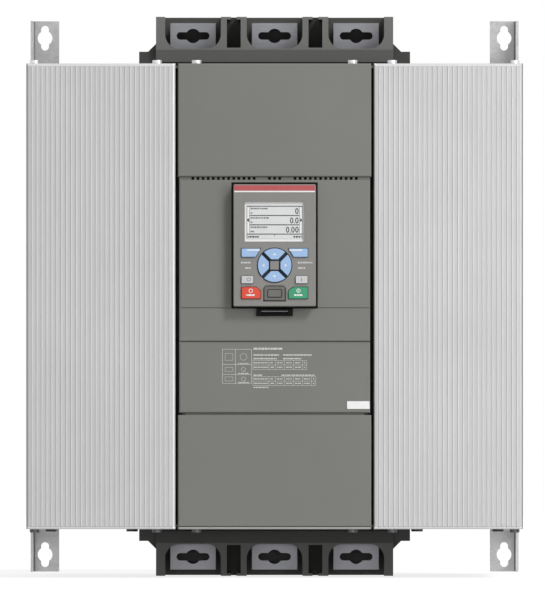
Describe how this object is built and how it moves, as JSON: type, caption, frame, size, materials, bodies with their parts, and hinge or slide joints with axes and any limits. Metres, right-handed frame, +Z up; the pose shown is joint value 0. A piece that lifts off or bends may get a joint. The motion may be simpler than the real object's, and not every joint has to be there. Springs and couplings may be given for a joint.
{
  "type": "motor soft starter",
  "caption": "Wall-mounted motor soft starter with ribbed metal side covers, grey centre covers, slotted busbar terminals at both ends and a keypad with display.",
  "frame": {"origin": "middle of the wall holes, on the wall plane", "axes": "+X to the right seen from the front, +Y back to the wall, +Z up towards the line terminals"},
  "size_m": [0.435, 0.381, 0.493],
  "materials": {
    "galvanised_sheet": "galvanised sheet",
    "chassis_sheet": "zinc-coated sheet",
    "heat_sink_aluminium": "extruded, bare",
    "side_cover_metal": "ribbed sheet, satin",
    "fan_plastic": "black",
    "terminal_plastic": "grey, fine texture",
    "tinned_copper": "tin-plated copper",
    "module_plastic": "tan",
    "transformer_resin": "dark blue resin",
    "contactor_plastic": "dark grey",
    "cover_plastic": "grey, fine texture",
    "housing_plastic": "dark grey",
    "board_green": "solder resist",
    "black_plastic": "black",
    "keypad_plastic": "warm grey",
    "flap_plastic": "darker grey",
    "window_clear": "clear",
    "display_pale": "pale grey",
    "socket_metal": "plated",
    "key_blue": "pale blue",
    "key_grey": "pale grey",
    "key_red": "red",
    "key_green": "green",
    "screw_zinc": "zinc-plated"
  },
  "bodies": {
    "enclosure": {"mounting_plate": "galvanised_sheet", "chassis": "chassis_sheet", "left_air_outlet": "chassis_sheet", "right_air_outlet": "chassis_sheet", "left_fan_plate": "chassis_sheet", "right_fan_plate": "chassis_sheet", "left_heat_sink": "heat_sink_aluminium", "right_heat_sink": "heat_sink_aluminium", "left_side_cover": "side_cover_metal", "right_side_cover": "side_cover_metal", "left_fan_frame": "fan_plastic", "right_fan_frame": "fan_plastic", "fan_rivets": "fan_plastic", "upper_terminal_block": "terminal_plastic", "lower_terminal_block": "terminal_plastic", "line_busbar_1": "tinned_copper", "line_busbar_2": "tinned_copper", "line_busbar_3": "tinned_copper", "load_busbar_1": "tinned_copper", "load_busbar_2": "tinned_copper", "load_busbar_3": "tinned_copper", "thyristor_1": "module_plastic", "thyristor_2": "module_plastic", "thyristor_3": "module_plastic", "thyristor_4": "module_plastic", "thyristor_5": "module_plastic", "thyristor_6": "module_plastic", "current_transformer_1": "transformer_resin", "current_transformer_2": "transformer_resin", "current_transformer_3": "transformer_resin", "bypass_contactor": "contactor_plastic", "upper_cover": "cover_plastic", "middle_cover": "cover_plastic", "label_cover": "cover_plastic", "lower_cover": "cover_plastic", "control_housing": "housing_plastic", "control_board": "board_green", "power_board": "board_green", "keypad_holder": "black_plastic", "cover_screws": "screw_zinc"},
    "keypad": {"keypad_front": "keypad_plastic", "keypad_rear": "black_plastic", "display_window": "window_clear", "display_module": "display_pale", "keypad_board": "board_green", "usb_socket": "socket_metal"},
    "latch": {"keypad_latch": "black_plastic"},
    "socket_flap": {"usb_flap": "flap_plastic"},
    "left_fan": {"left_fan_rotor": "fan_plastic"},
    "right_fan": {"right_fan_rotor": "fan_plastic"},
    "left_soft_key_body": {"left_soft_key": "key_blue"},
    "right_soft_key_body": {"right_soft_key": "key_blue"},
    "up_key_body": {"up_key": "key_blue"},
    "down_key_body": {"down_key": "key_blue"},
    "left_key_body": {"left_key": "key_blue"},
    "right_key_body": {"right_key": "key_blue"},
    "local_key_body": {"local_key": "key_grey"},
    "info_key_body": {"info_key": "key_grey"},
    "stop_key_body": {"stop_key": "key_red"},
    "start_key_body": {"start_key": "key_green"}
  },
  "joints": [
    {"name": "keypad_pull", "type": "slide", "parent": "enclosure", "child": "keypad", "axis": [0, -1, 0], "range_m": [0, 0.04]},
    {"name": "latch_press", "type": "slide", "parent": "enclosure", "child": "latch", "axis": [0, 1, 0], "range_m": [0, 0.003], "stiffness_N_per_m": 900},
    {"name": "flap_hinge", "type": "hinge", "parent": "keypad", "child": "socket_flap", "pos_m": [0, -0.3785, -0.0031], "axis": [1, 0, 0], "range_deg": [0, 90]},
    {"name": "left_fan_spin", "type": "hinge", "parent": "enclosure", "child": "left_fan", "pos_m": [-0.1616, -0.171, -0.18], "axis": [0, 0, 1], "continuous": true},
    {"name": "right_fan_spin", "type": "hinge", "parent": "enclosure", "child": "right_fan", "pos_m": [0.1616, -0.171, -0.18], "axis": [0, 0, 1], "continuous": true},
    {"name": "left_soft_key_press", "type": "slide", "parent": "keypad", "child": "left_soft_key_body", "axis": [0, 1, 0], "range_m": [0, 0.0008], "stiffness_N_per_m": 1200},
    {"name": "right_soft_key_press", "type": "slide", "parent": "keypad", "child": "right_soft_key_body", "axis": [0, 1, 0], "range_m": [0, 0.0008], "stiffness_N_per_m": 1200},
    {"name": "up_key_press", "type": "slide", "parent": "keypad", "child": "up_key_body", "axis": [0, 1, 0], "range_m": [0, 0.0008], "stiffness_N_per_m": 1200},
    {"name": "down_key_press", "type": "slide", "parent": "keypad", "child": "down_key_body", "axis": [0, 1, 0], "range_m": [0, 0.0008], "stiffness_N_per_m": 1200},
    {"name": "left_key_press", "type": "slide", "parent": "keypad", "child": "left_key_body", "axis": [0, 1, 0], "range_m": [0, 0.0008], "stiffness_N_per_m": 1200},
    {"name": "right_key_press", "type": "slide", "parent": "keypad", "child": "right_key_body", "axis": [0, 1, 0], "range_m": [0, 0.0008], "stiffness_N_per_m": 1200},
    {"name": "local_key_press", "type": "slide", "parent": "keypad", "child": "local_key_body", "axis": [0, 1, 0], "range_m": [0, 0.0008], "stiffness_N_per_m": 1200},
    {"name": "info_key_press", "type": "slide", "parent": "keypad", "child": "info_key_body", "axis": [0, 1, 0], "range_m": [0, 0.0008], "stiffness_N_per_m": 1200},
    {"name": "stop_key_press", "type": "slide", "parent": "keypad", "child": "stop_key_body", "axis": [0, 1, 0], "range_m": [0, 0.0008], "stiffness_N_per_m": 1200},
    {"name": "start_key_press", "type": "slide", "parent": "keypad", "child": "start_key_body", "axis": [0, 1, 0], "range_m": [0, 0.0008], "stiffness_N_per_m": 1200}
  ]
}
